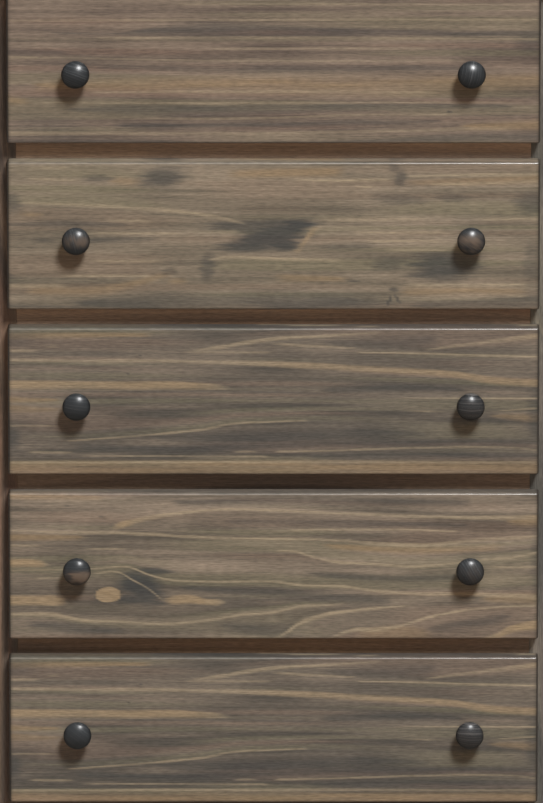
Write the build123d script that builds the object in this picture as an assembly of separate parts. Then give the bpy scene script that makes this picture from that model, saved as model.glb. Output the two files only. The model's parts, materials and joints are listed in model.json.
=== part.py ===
from build123d import *
from math import atan2, degrees
import os

# A free-standing chest with five overlay drawers on a face frame, in solid pine.
# Millimetres. X runs to the right, Y to the back and Z up, seen from the front.
# The origin is on the floor, under the middle of the whole chest, knobs included.

# Drawer fronts
drawer_count = 5
front_width = 662.0
front_height = 190.0
front_thickness = 20.0
front_pitch = 214.0  # from one front to the next one below
front_gap = 1.0  # between the closed front and the face frame
front_corner = 3.5  # rounding of the four corners
front_edge = 3.0  # rounding of the front arris
lowest_front = 96.0  # floor to the underside of the bottom front

# Face frame
side_overlay = 11.0  # front over stile, each side
rail_overlay = 9.0  # front over rail, above and below
stile_width = 44.0
frame_thickness = 19.0
frame_edge = 2.0
bottom_rail_height = 50.0
top_reveal = 18.0  # bare rail above the top front
tenon_length = 20.0
tenon_thickness = 7.0
tenon_shoulder = 5.0  # above and below the tenon
glue_gap = 1.0  # spare depth in a mortise or socket

# Case
case_depth = 425.0  # face of the frame to the back
side_thickness = 19.0
foot_length = 70.0  # of each foot, along the side
foot_cut_height = 45.0
foot_cut_radius = 25.0
top_thickness = 22.0
top_side_overhang = 12.0
top_front_overhang = 26.0
top_edge = 6.0
rabbet_width = 10.0
rabbet_depth = 8.0  # back panel and the heads of its screws
back_thickness = 5.0
back_play = 0.5  # between the back panel and its rabbet
rear_rail_thickness = 19.0
rear_rail_height = 45.0

# Floor glides
glide_radius = 9.0
glide_height = 5.0
glide_edge = 1.5

# Runners, kickers and stops
ledge_width = 14.0  # what carries the drawer side
guide_rise = 30.0  # side guide above the ledge
stop_width = 40.0
stop_depth = 30.0
stop_drop = 14.0  # below the rail
stop_rise = 15.0  # glued to the back of the rail

# Drawer boxes
side_play = 1.0  # between drawer and guide, each side
ride_play = 0.5  # between drawer and runner ledge
head_play = 5.5  # between drawer and what is above it
box_length = 395.0
box_thickness = 12.0
bottom_thickness = 6.0
bottom_rise = 12.0  # lower edge of a side to the groove
groove_depth = 6.0
groove_play = 0.2
back_drop = 3.0  # drawer back below the top of the sides
tongue_length = 8.0  # dovetail of a side in the front
tongue_neck = 6.0
tongue_flare = 0.19  # widening of each flank for its depth
tail_count = 4
tail_wide = 21.0
tail_narrow = 17.0

# Knobs and screws
knob_spacing = 491.0
knob_drop = 2.0  # below the middle of the front
knob_radius = 17.5
knob_rim = 17.5  # widest place, from the front
knob_projection = 28.5
knob_shoulder = 7.0  # radius between the dome's crown and its rim
knob_under = 9.0  # radius of the underside, from rim to neck
knob_cove = 3.0  # radius between neck and foot
knob_base_height = 2.0
knob_bore_depth = 14.0
screw_shank_radius = 2.0
screw_head_radius = 4.0
screw_head_height = 2.6
screw_head_edge = 0.8
screw_slot_length = 5.0
screw_slot_width = 1.0
screw_slot_depth = 1.3
screw_clearance = 0.4  # radius of a through hole over the shank
thread_clearance = 0.05  # radius of a threaded hole over the shank
knob_screw_bite = 12.0  # in the knob
wood_screw_length = 16.0
back_screws_per_side = 6
back_screws_per_rail = 4
runner_screw_length = 32.0
runner_screw_sink = 4.0  # head below the face of the guide

# Worked out from the above
opening_half = front_width / 2 - side_overlay
case_half = opening_half + stile_width
inner_half = case_half - side_thickness
total_depth = case_depth + front_gap + front_thickness + knob_projection
back_y = total_depth / 2
frame_y = back_y - case_depth
frame_back_y = frame_y + frame_thickness
back_inner_y = back_y - rabbet_depth
front_back_y = frame_y - front_gap
front_face_y = front_back_y - front_thickness
rail_height = front_pitch - front_height + 2 * rail_overlay
under_top_z = lowest_front + (drawer_count - 1) * front_pitch + front_height + top_reveal
box_half = opening_half - side_play
box_rear_y = front_back_y + box_length
ledge_half = opening_half - ledge_width
drawers = range(1, drawer_count + 1)


def front_z(drawer):
    """Underside of a drawer's front; drawer 1 is at the top."""
    return lowest_front + (drawer_count - drawer) * front_pitch


def opening_z(drawer):
    """Lower and upper limit of a drawer's opening in the face frame."""
    return front_z(drawer) + rail_overlay, front_z(drawer) + front_height - rail_overlay


def box_z(drawer):
    """Lower and upper edge of a drawer's sides."""
    low, high = opening_z(drawer)
    return low + ride_play, high - head_play


def block(x, y, z):
    """A box between the low and high limits given for each axis."""
    size = [high - low for low, high in (x, y, z)]
    middle = [(high + low) / 2 for low, high in (x, y, z)]
    return Pos(*middle) * Box(*size)


def prism(plane, points, height):
    """A polygon drawn on a plane and raised along the plane's normal."""
    return extrude(plane * make_face(Polyline(*points, close=True)), amount=height)


def rod(start, direction, radius, length):
    """A round rod from a point along a direction."""
    return extrude(Plane(start, z_dir=direction) * Circle(radius), amount=length)


def to_right(shape):
    """The mirror image of a left-hand piece."""
    return mirror(shape, Plane.YZ)


def both_hands(shape):
    """A left-hand piece and its mirror image."""
    return [shape, to_right(shape)]


def screw(seat, direction, length):
    """A pan-head screw whose head sits on the seat point and whose shank runs along direction."""
    upright = Plane(seat, z_dir=direction)
    head = Pos(0, 0, -screw_head_height / 2) * Cylinder(screw_head_radius, screw_head_height)
    head = fillet(head.edges().group_by(Axis.Z)[0], screw_head_edge)
    slot = Pos(0, 0, -screw_head_height + screw_slot_depth / 2)
    arms = ((screw_slot_length, screw_slot_width), (screw_slot_width, screw_slot_length))
    for length_x, length_y in arms:
        head -= slot * Box(length_x, length_y, screw_slot_depth)
    shank = Pos(0, 0, length / 2) * Cylinder(screw_shank_radius, length)
    return upright.location * (head + shank)


def screw_hole(seat, direction, length, clearance):
    """The hole that a screw's shank leaves, a little deeper than the shank."""
    return rod(seat, direction, screw_shank_radius + clearance, length + glue_gap)


# Where the heads of the case screws sit
def back_panel_screws():
    """Round the edge of the back panel, into the sides and the rear rails."""
    seat_y = back_inner_y + back_thickness
    panel_low, panel_high = back_panel_z()
    inset = rabbet_width / 2
    step = (panel_high - panel_low - 2 * foot_length) / (back_screws_per_side - 1)
    for row in range(back_screws_per_side):
        for hand in (-1, 1):
            yield (hand * (inner_half + inset), seat_y, panel_low + foot_length + row * step)
    step = 2 * ledge_half / back_screws_per_rail
    for column in range(back_screws_per_rail):
        x = -ledge_half + (column + 0.5) * step
        yield (x, seat_y, panel_low + rear_rail_height / 2)
        yield (x, seat_y, panel_high - rear_rail_height / 2)


def runner_screws(drawer):
    """Sunk in a left-hand guide, into the side panel."""
    x = -opening_half - runner_screw_sink
    z = opening_z(drawer)[0] + guide_rise / 2
    return [(x, frame_back_y + share * (back_inner_y - frame_back_y), z) for share in (0.2, 0.8)]


def kicker_screws():
    """Up through the left-hand top kicker into the top panel."""
    x = -(inner_half + ledge_half) / 2
    z = opening_z(1)[1]
    return [(x, frame_back_y + share * (back_inner_y - frame_back_y), z) for share in (0.15, 0.85)]


def drill(shape, seats, direction, length, clearance):
    """A shape with a screw hole at each seat."""
    for seat in seats:
        shape -= screw_hole(seat, direction, length, clearance)
    return shape


to_left, to_front, upward = (-1, 0, 0), (0, -1, 0), (0, 0, 1)
kicker_screw_length = top_reveal + rail_overlay + top_thickness / 2


# Face frame
def rail_spans():
    """Name, lower and upper edge of each rail, from the top."""
    yield "top_rail", opening_z(1)[1], under_top_z
    for drawer in drawers[1:]:
        yield f"divider_rail_{drawer - 1}", opening_z(drawer)[1], opening_z(drawer - 1)[0]
    top_edge_z = opening_z(drawer_count)[0]
    yield "bottom_rail", top_edge_z - bottom_rail_height, top_edge_z


def tenon(low, high, length):
    """The left-hand tenon of a rail, or its mortise where the length has the glue gap."""
    middle_y = (frame_y + frame_back_y) / 2
    return block(
        (-opening_half - length, -opening_half),
        (middle_y - tenon_thickness / 2, middle_y + tenon_thickness / 2),
        (low + tenon_shoulder, high - tenon_shoulder),
    )


def rail(low, high):
    bar = block((-opening_half, opening_half), (frame_y, frame_back_y), (low, high))
    for end in both_hands(tenon(low, high, tenon_length)):
        bar += end
    return bar


def left_stile():
    post = block((-case_half, -opening_half), (frame_y, frame_back_y), (glide_height, under_top_z))
    outer_corner = post.edges().filter_by(Axis.Z).group_by(Axis.X)[0].sort_by(Axis.Y)[0]
    post = fillet(outer_corner, frame_edge)
    for _, low, high in rail_spans():
        post -= tenon(low, high, tenon_length + glue_gap)
    return post


# Case
def left_side_panel():
    """A plain side with a rabbet for the back and a cut-out that leaves two feet."""
    panel = block((-case_half, -inner_half), (frame_back_y, back_y), (glide_height, under_top_z))
    panel -= block(
        (-inner_half - rabbet_width, -inner_half), (back_inner_y, back_y), (foot_cut_height, under_top_z)
    )
    cut = block(
        (-case_half, -inner_half),
        (frame_y + foot_length, back_y - foot_length),
        (glide_height, foot_cut_height),
    )
    panel -= fillet(cut.edges().filter_by(Axis.X).group_by(Axis.Z)[-1], foot_cut_radius)
    panel = drill(panel, back_panel_screws(), to_front, wood_screw_length, thread_clearance)
    for drawer in drawers:
        panel = drill(panel, runner_screws(drawer), to_left, runner_screw_length, thread_clearance)
    return panel


def top_panel():
    half = case_half + top_side_overhang
    board = block(
        (-half, half), (frame_y - top_front_overhang, back_y), (under_top_z, under_top_z + top_thickness)
    )
    board = fillet(board.edges().filter_by(Axis.Z).group_by(Axis.Y)[0], top_edge)
    face = board.faces().sort_by(Axis.Z)[-1]
    board = fillet([edge for edge in face.edges() if edge.center().Y < back_y - 1], top_edge)
    holes = kicker_screws() + [(-x, y, z) for x, y, z in kicker_screws()]
    return drill(board, holes, upward, kicker_screw_length, thread_clearance)


def back_panel_z():
    """Lower and upper edge of the back panel."""
    return opening_z(drawer_count)[0] - rear_rail_height, under_top_z - back_play


def back_panel():
    half = inner_half + rabbet_width - back_play
    panel = block((-half, half), (back_inner_y, back_inner_y + back_thickness), back_panel_z())
    return drill(panel, back_panel_screws(), to_front, back_thickness, screw_clearance)


def rear_rail(low):
    bar = block(
        (-ledge_half, ledge_half),
        (back_inner_y - rear_rail_thickness, back_inner_y),
        (low, low + rear_rail_height),
    )
    return drill(bar, back_panel_screws(), to_front, wood_screw_length, thread_clearance)


def left_runner(drawer):
    """An L-shaped batten: the ledge carries the drawer, the guide keeps it straight."""
    ledge_z = opening_z(drawer)[0]
    length = (frame_back_y, back_inner_y)
    guide = block((-inner_half, -opening_half), length, (ledge_z - rail_height, ledge_z + guide_rise))
    ledge = block((-opening_half, -ledge_half), length, (ledge_z - rail_height, ledge_z))
    batten = drill(guide + ledge, runner_screws(drawer), to_left, runner_screw_length, screw_clearance)
    for seat in runner_screws(drawer):
        batten -= rod(seat, (1, 0, 0), screw_head_radius + screw_clearance, runner_screw_sink)
    return batten


def left_kicker():
    bar = block((-inner_half, -ledge_half), (frame_back_y, back_inner_y), (opening_z(1)[1], under_top_z))
    return drill(bar, kicker_screws(), upward, kicker_screw_length, screw_clearance)


def drawer_stop(drawer):
    """A block behind the rail above a drawer, which catches the drawer's back."""
    rail_z = opening_z(drawer)[1]
    return block(
        (-stop_width / 2, stop_width / 2),
        (frame_back_y, frame_back_y + stop_depth),
        (rail_z - stop_drop, rail_z + stop_rise),
    )


def floor_glides():
    disc = Pos(0, 0, glide_height / 2) * Cylinder(glide_radius, glide_height)
    disc = fillet(disc.edges().group_by(Axis.Z)[0], glide_edge)
    middle_x = case_half - side_thickness / 2
    feet = [(frame_back_y + foot_length / 4), (back_y - foot_length / 2)]
    return [Pos(hand * middle_x, y, 0) * disc for y in feet for hand in (-1, 1)]


def case_screws():
    """All the wood screws of the case, one group."""
    group = [screw(seat, to_front, wood_screw_length) for seat in back_panel_screws()]
    for drawer in drawers:
        for seat in runner_screws(drawer):
            group += both_hands(screw(seat, to_left, runner_screw_length))
    for seat in kicker_screws():
        group += both_hands(screw(seat, upward, kicker_screw_length))
    return group


# Drawers
def dovetail_tongue(low, high, tip_gap):
    """The left-hand side's tongue in the front, wider at its tip; the socket has a tip gap."""
    middle = -box_half + box_thickness / 2
    depth = tongue_length + tip_gap
    neck = tongue_neck / 2
    tip = neck + tongue_flare * depth
    points = [
        (middle - neck, front_back_y),
        (middle - tip, front_back_y - depth),
        (middle + tip, front_back_y - depth),
        (middle + neck, front_back_y),
    ]
    return prism(Plane.XY.offset(low), points, high - low)


def bottom_z(drawer):
    """Lower and upper face of a drawer's bottom."""
    low = box_z(drawer)[0] + bottom_rise
    return low, low + bottom_thickness


def groove(drawer):
    """The space that the bottom takes up in the front and sides."""
    half = box_half - box_thickness + groove_depth
    low, high = bottom_z(drawer)
    return block((-half, half), (front_back_y - groove_depth, box_rear_y), (low, high + groove_play))


def knob_x():
    return (-knob_spacing / 2, knob_spacing / 2)


def knob_z(drawer):
    return front_z(drawer) + front_height / 2 - knob_drop


def drawer_front(drawer):
    """A solid board with eased edges, with sockets for the sides, a groove and two knob holes."""
    low = front_z(drawer)
    board = block(
        (-front_width / 2, front_width / 2), (front_face_y, front_back_y), (low, low + front_height)
    )
    board = fillet(board.edges().filter_by(Axis.Y), front_corner)
    board = fillet(board.faces().sort_by(Axis.Y)[0].edges(), front_edge)
    for socket in both_hands(dovetail_tongue(low, box_z(drawer)[1], glue_gap)):
        board -= socket
    board -= groove(drawer)
    seats = [(x, front_back_y, knob_z(drawer)) for x in knob_x()]
    return drill(board, seats, to_front, front_thickness, screw_clearance)


def back_z(drawer):
    """Lower and upper edge of a drawer's back, which stands on the bottom."""
    return bottom_z(drawer)[1] + groove_play, box_z(drawer)[1] - back_drop


def tails(drawer, x_low):
    """The dovetails at the rear end of a side, wider at the end of the board."""
    low, high = back_z(drawer)
    pitch = (high - low) / tail_count
    row = []
    for number in range(tail_count):
        middle = low + (number + 0.5) * pitch
        points = [
            (box_rear_y - box_thickness, middle - tail_narrow / 2),
            (box_rear_y, middle - tail_wide / 2),
            (box_rear_y, middle + tail_wide / 2),
            (box_rear_y - box_thickness, middle + tail_narrow / 2),
        ]
        row.append(prism(Plane.YZ.offset(x_low), points, box_thickness))
    return row


def left_drawer_side(drawer):
    low, high = box_z(drawer)
    x_limits = (-box_half, -box_half + box_thickness)
    board = block(x_limits, (front_back_y, box_rear_y), (low, high))
    board += dovetail_tongue(low, high, 0)
    board -= groove(drawer)
    board -= block(x_limits, (box_rear_y - box_thickness, box_rear_y), back_z(drawer))
    for tail in tails(drawer, -box_half):
        board += tail
    return board


def drawer_back(drawer):
    board = block((-box_half, box_half), (box_rear_y - box_thickness, box_rear_y), back_z(drawer))
    for x_low in (-box_half, box_half - box_thickness):
        for tail in tails(drawer, x_low):
            board -= tail
    return board


def drawer_bottom(drawer):
    half = box_half - box_thickness + groove_depth - back_play
    return block(
        (-half, half), (front_back_y - groove_depth + back_play, box_rear_y), bottom_z(drawer)
    )


def knob(x, z):
    """A turned knob, all lines and arcs: foot, cove, neck, rounded underside, shoulder and crown."""
    bore = screw_shank_radius + thread_clearance
    neck = knob_radius - knob_under
    foot = neck + knob_cove
    cove_top = knob_base_height + knob_cove
    shoulder_x = knob_radius - knob_shoulder
    height = knob_projection - knob_rim
    crown = (shoulder_x**2 + height**2 - knob_shoulder**2) / (2 * (height - knob_shoulder))
    crown_y = knob_projection - crown
    meeting = degrees(atan2(knob_rim - crown_y, shoulder_x))
    outline = [
        Line((bore, 0), (foot, 0)),
        Line((foot, 0), (foot, knob_base_height)),
        CenterArc((foot, cove_top), knob_cove, 180, 90),
        Line((neck, cove_top), (neck, knob_rim - knob_under)),
        CenterArc((neck, knob_rim), knob_under, 270, 90),
        CenterArc((shoulder_x, knob_rim), knob_shoulder, 0, meeting),
        CenterArc((0, crown_y), crown, meeting, 90 - meeting),
        Line((0, knob_projection), (0, knob_bore_depth)),
        Line((0, knob_bore_depth), (bore, knob_bore_depth)),
        Line((bore, knob_bore_depth), (bore, 0)),
    ]
    return Pos(x, front_face_y, z) * Rot(180, 0, 0) * revolve(make_face(outline), Axis.Y)


def knob_screw(x, z):
    return screw((x, front_back_y, z), to_front, front_thickness + knob_screw_bite)


# Every node, by name
nodes = {name: rail(low, high) for name, low, high in rail_spans()}
nodes["left_stile"] = left_stile()
nodes["right_stile"] = to_right(nodes["left_stile"])
nodes["left_side_panel"] = left_side_panel()
nodes["right_side_panel"] = to_right(nodes["left_side_panel"])
nodes["top_panel"] = top_panel()
nodes["back_panel"] = back_panel()
nodes["rear_top_rail"] = rear_rail(under_top_z - rear_rail_height)
nodes["rear_bottom_rail"] = rear_rail(back_panel_z()[0])
nodes["left_runners"] = Compound([left_runner(drawer) for drawer in drawers])
nodes["right_runners"] = Compound([to_right(left_runner(drawer)) for drawer in drawers])
nodes["top_kickers"] = Compound(both_hands(left_kicker()))
nodes["drawer_stops"] = Compound([drawer_stop(drawer) for drawer in drawers])
nodes["floor_glides"] = Compound(floor_glides())
nodes["case_screws"] = Compound(case_screws())

for drawer in drawers:
    side = left_drawer_side(drawer)
    nodes[f"drawer_{drawer}_front"] = drawer_front(drawer)
    nodes[f"drawer_{drawer}_left_side"] = side
    nodes[f"drawer_{drawer}_right_side"] = to_right(side)
    nodes[f"drawer_{drawer}_back"] = drawer_back(drawer)
    nodes[f"drawer_{drawer}_bottom"] = drawer_bottom(drawer)
    for hand, x in zip(("left", "right"), knob_x()):
        nodes[f"drawer_{drawer}_{hand}_knob"] = knob(x, knob_z(drawer))
    nodes[f"drawer_{drawer}_knob_screws"] = Compound([knob_screw(x, knob_z(drawer)) for x in knob_x()])

os.makedirs("parts", exist_ok=True)
for name, shape in nodes.items():
    export_step(shape, f"parts/{name}.step")
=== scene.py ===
import json
import math

import bpy
import numpy as np
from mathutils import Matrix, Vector

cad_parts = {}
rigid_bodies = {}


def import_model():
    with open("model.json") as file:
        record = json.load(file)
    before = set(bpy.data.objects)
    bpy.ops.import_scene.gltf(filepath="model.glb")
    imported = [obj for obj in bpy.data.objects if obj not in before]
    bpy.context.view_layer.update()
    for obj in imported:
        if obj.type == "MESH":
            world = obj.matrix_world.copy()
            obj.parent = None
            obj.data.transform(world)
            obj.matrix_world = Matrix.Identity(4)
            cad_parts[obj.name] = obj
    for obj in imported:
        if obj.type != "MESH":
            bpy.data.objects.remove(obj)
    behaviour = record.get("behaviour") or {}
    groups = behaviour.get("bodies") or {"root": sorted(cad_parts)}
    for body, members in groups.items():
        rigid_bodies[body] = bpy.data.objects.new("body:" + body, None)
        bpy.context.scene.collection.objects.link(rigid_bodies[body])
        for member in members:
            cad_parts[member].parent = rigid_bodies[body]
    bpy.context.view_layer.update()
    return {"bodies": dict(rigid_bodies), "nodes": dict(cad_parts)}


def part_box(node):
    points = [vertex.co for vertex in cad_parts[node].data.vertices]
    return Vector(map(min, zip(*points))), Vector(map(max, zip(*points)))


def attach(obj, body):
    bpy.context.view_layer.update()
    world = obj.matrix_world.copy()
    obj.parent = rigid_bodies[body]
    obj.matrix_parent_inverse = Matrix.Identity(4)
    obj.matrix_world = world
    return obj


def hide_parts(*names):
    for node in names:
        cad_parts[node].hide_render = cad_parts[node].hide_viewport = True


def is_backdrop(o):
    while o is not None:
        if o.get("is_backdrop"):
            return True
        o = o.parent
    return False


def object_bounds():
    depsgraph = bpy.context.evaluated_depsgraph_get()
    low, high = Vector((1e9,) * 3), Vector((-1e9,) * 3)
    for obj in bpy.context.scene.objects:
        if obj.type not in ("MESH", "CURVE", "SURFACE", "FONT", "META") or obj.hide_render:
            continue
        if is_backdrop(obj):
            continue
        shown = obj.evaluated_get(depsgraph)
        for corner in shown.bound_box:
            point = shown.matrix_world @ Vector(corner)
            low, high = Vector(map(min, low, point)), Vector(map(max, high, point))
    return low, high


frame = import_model()

# A five-drawer pine chest in a weathered grey-brown stain. Metres, +Z up, fronts towards -Y.
# Wood figure is worked out in millimetres: along the grain, across it, and into the board.
MM = 0.001
drawers = range(1, 1 + sum(body.startswith("drawer_") for body in frame["bodies"]))

# Picture: the camera stands far off, so that the fronts keep parallel edges
PHOTO_HEIGHT = 803  # pixels
PIXEL = 1.246 * MM  # at the face of the fronts
MIDDLE_OFFSET = (-2.0, 0.2)  # pixels from the middle of the third front to the middle of the picture
VIEW_ELEVATION = math.radians(16)
VIEW_DISTANCE = 22.0
SENSOR = 36.0  # millimetres, along the height of the picture


# Colours and nodes
def linear(hex_colour):
    """Linear RGBA of an sRGB hex colour: a straight toe, then a power curve."""
    parts = np.array([int(hex_colour[k:k + 2], 16) for k in (0, 2, 4)]) / 255
    toe, curve = parts / 12.92, ((parts + 0.055) / 1.055) ** 2.4
    return (*np.where(parts <= 0.04045, toe, curve), 1.0)


def add(tree, kind, inputs=None, **settings):
    """Adds a node with its settings; an input is a value to set or an output to link from."""
    made = tree.nodes.new(kind)
    for name, value in settings.items():
        setattr(made, name, value)
    for key, value in (inputs or {}).items():
        if isinstance(value, bpy.types.NodeSocket):
            tree.links.new(value, made.inputs[key])
        else:
            made.inputs[key].default_value = value
    return made


def new_material(name):
    """A new material with nothing in its node tree, and that tree."""
    material = bpy.data.materials.new(name)
    material.use_nodes = True
    material.node_tree.nodes.clear()
    return material, material.node_tree


def grain_pattern(tree, place, size, detail, distortion=0.0):
    """Noise drawn out along the grain: places are divided by the size of the noise's cells on each
    axis, given in millimetres."""
    stretch = (1 / (np.array(size) * MM)).tolist()
    drawn_out = add(tree, "ShaderNodeVectorMath", {0: place, 1: stretch}, operation="MULTIPLY")
    cells = {"Vector": drawn_out.outputs[0], "Scale": 1.0, "Detail": detail, "Distortion": distortion}
    return add(tree, "ShaderNodeTexNoise", cells).outputs["Fac"]


# Curves and noise that the wood figure is made of
def ramp(value, low, high):
    """0 below low, 1 above high, and an S curve between."""
    t = np.clip((value - low) / (high - low), 0, 1)
    return t * t * (3 - 2 * t)


def grain_noise(along, across, cell, seed):
    """Smooth noise, 0 to 1: random heights on a lattice with cells of that length and width in
    millimetres, blended between the four lattice points round each place."""
    size = 97
    lattice = np.random.default_rng(seed).random((size, size))
    x, y = along / cell[0] + 41, across / cell[1] + 17
    i, j = np.floor(x).astype(int), np.floor(y).astype(int)
    s, t = ramp(x - i, 0, 1), ramp(y - j, 0, 1)
    near = lattice[i % size, j % size] * (1 - s) + lattice[(i + 1) % size, j % size] * s
    far = lattice[i % size, (j + 1) % size] * (1 - s) + lattice[(i + 1) % size, (j + 1) % size] * s
    return near * (1 - t) + far * t


def through(points, x):
    """Smooth curve through points (x, y): between two of them a cubic that keeps their slopes."""
    px, py = np.array(points, float).T
    slope = np.gradient(py, px)
    k = np.clip(np.searchsorted(px, x) - 1, 0, len(px) - 2)
    step = px[k + 1] - px[k]
    t = np.clip((x - px[k]) / step, 0, 1)
    lean = t * (1 - t) * step * ((1 - t) * slope[k] - t * slope[k + 1])
    return py[k] + (py[k + 1] - py[k]) * t * t * (3 - 2 * t) + lean


def streak(along, across, points, soft, seed):
    """A streak of latewood or stain, 0 to 1, and its half width: middle and half width run smoothly
    through the points, the upper edge is crisp and the lower one soft, fibres fray both, and the
    streak comes and goes along its length. It fades out at an end that lies inside the board."""
    first, last = points[0][0], points[-1][0]
    middle = through([p[:2] for p in points], along)
    half = through([(p[0], p[2]) for p in points], along)
    fray = (grain_noise(along, across, (34, 1.5), 5) - 0.5) * np.minimum(half * 0.8, 1.5)
    place = (across - middle + fray) / half
    upper = ramp(place, -1 - soft - 0.5 / half, -1 + soft)
    lower = 1 - ramp(place, 0.7 - 1.1 * soft, 1 + soft + 0.9 / half)
    fade = 5 + grain_noise(along, across, (4000, 1.4), 7) * 26
    start = 1 if first < -END_ZONE else ramp(along, first - 3, first + fade)
    finish = 1 if last > END_ZONE else 1 - ramp(along, last - fade, last + 3)
    strength = 0.5 + 0.65 * grain_noise(along, across, (80, 5), seed)
    return np.clip(upper * lower * start * finish * strength, 0, 1), half


def soaked(along, across, spot):
    """A patch where stain soaked in: an ellipse that leans by its slant, with ends that run out in
    fibre fingers."""
    x, y, half_length, half_height, slant, strength = spot
    fingers = (grain_noise(along, across, (90, 2.2), 11) - 0.5) * half_length * 0.7
    edge = (grain_noise(along, across, (30, 30), 12) - 0.5) * half_height * 0.4
    u = (along - x - slant * (across - y) + fingers) / half_length
    v = (across - y + edge) / half_height
    return strength * (1 - ramp(np.hypot(u, v), 0.4, 1.2))


def carried(along, across, streaks):
    """How far the fine lines are bent at each place: the mean rise of the long streaks near it."""
    push, weight = np.zeros_like(along), np.full_like(along, 0.25)
    for points in streaks:
        if points[-1][0] - points[0][0] > 90:
            middle = through([p[:2] for p in points], along)
            near = np.exp(-((across - middle) / 14) ** 2)
            push += near * (middle - np.mean([p[1] for p in points]))
            weight += near
    return push / weight


def growth_rings(depth, along, spacing, seed):
    """Ring lines of uneven width: each starts crisp at its edge, fades across the ring, and comes
    and goes along the board."""
    rng = np.random.default_rng(seed)
    edges = np.cumsum(rng.uniform(0.35, 1.65, 160) * spacing) - 30 * spacing
    ring = np.clip(np.searchsorted(edges, depth), 1, len(edges) - 1)
    part = (depth - edges[ring - 1]) / (edges[ring] - edges[ring - 1])
    weight = rng.uniform(0.2, 1, len(edges))[ring]
    come_and_go = grain_noise(along, ring * 7.0, (150, 7.0), seed + 1)
    return weight * (0.35 + 0.9 * come_and_go) * np.exp(-part / 0.3) * ramp(part, 0, 0.08)


# Figure of the fronts, read off the boards, in millimetres along the board from its middle and down from its
# top edge.
# Plain wood: lift is its tone, spacing the distance between ring lines, contrast, cloud and bands the
# strength of fine lines, broad clouds and soft bands, and red, olive and grey the shares of those tints.
# pale, gold and cold hold streaks, each a row of (along, down, half width). Of the pale ones, soft is how
# blurred they are, width a factor on their half width, line the share of pale in a narrow one, and tan
# the share of gold in a wide one.
# stain and glow hold patches of (along, down, half length, half height, slant, strength): a stain is
# dark, and a glow lifts the tone, or lowers it where its strength is below 0.
# knot holds (along, down, half length, half height), and edge is how much darker the top, bottom and end
# faces of the board are made.
END_ZONE = 318  # a streak that reaches this far runs off the end of the board
END_GRAIN = (327.0, 329.8)  # where a front's cut end starts to go dark, and where it is darkest
STRAIGHT = {
    "lift": 0.39, "contrast": 0.86, "spacing": 5.0, "cloud": 0.76, "bands": 0.2,
    "red": 0.22, "olive": 0.0, "grey": 0.0,
    "edge": 0.3, "soft": 0.35, "width": 1.0, "line": 0.42, "tan": 0.7,
    "pale": [
        [(-125, 11, .8), (330, 11, 1)],
        [(-331, 32, 1.1), (0, 31, 1.3), (331, 31, 1)],
        [(-222, 54, .8), (0, 54, 1.2), (330, 56, .8)],
        [(-82, 68, .6), (40, 68, 1.1), (192, 68, .8)],
        [(-333, 79, 1.1), (-255, 80, .8), (-100, 83, .6), (240, 83, .9)],
        [(-230, 124, .8), (60, 123, 1.5), (200, 124, .8)],
        [(-300, 137, .8), (-60, 138, 1.3), (150, 137, .9), (300, 137, .6)],
        [(-169, 158, .7), (-2, 157, 1.2), (100, 153, 1), (225, 153, .6)],
        [(-331, 177, 2), (0, 176, 1.4), (300, 170, 2.4)],
    ],
    "gold": [
        [(-300, 116, 5), (-60, 114, 9), (120, 117, 11), (331, 110, 8)],
        [(-326, 134, 5), (-300, 136, 3)],
        [(230, 168, 3), (325, 166, 6)],
    ],
    "cold": [
        [(-277, 48, .8), (-180, 48, 1.6), (-150, 46, 5), (60, 47, 6), (190, 48, 3.4), (331, 49, 3)],
        [(-331, 72, 4), (-250, 73, 2)],
        [(-220, 92, 1.5), (-60, 93, 4.5), (250, 92, 3)],
        [(-262, 146, 2), (-150, 147, 6), (0, 147, 7), (90, 143, 5), (300, 142, 2.5)],
        [(-200, 167, 2.5), (20, 166, 3), (140, 162, 3), (210, 161, 1.5)],
        [(-331, 187, 3), (150, 187, 4), (240, 183, 6), (331, 184, 7)],
    ],
    "stain": [(318, 58, 22, 18, 0, .5), (218, 149, 3, 2, 0, .8), (-280, 172, 60, 22, 0, .3)],
    "glow": [
        (40, 96, 260, 26, 0, .13),  # light along the middle
        (-210, 167, 150, 30, 0, -.2),  # dark below on the left
        (-270, 90, 90, 60, 0, -.09),
        (170, 158, 220, 36, 0, .11),
    ],
    "knot": [],
}
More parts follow.
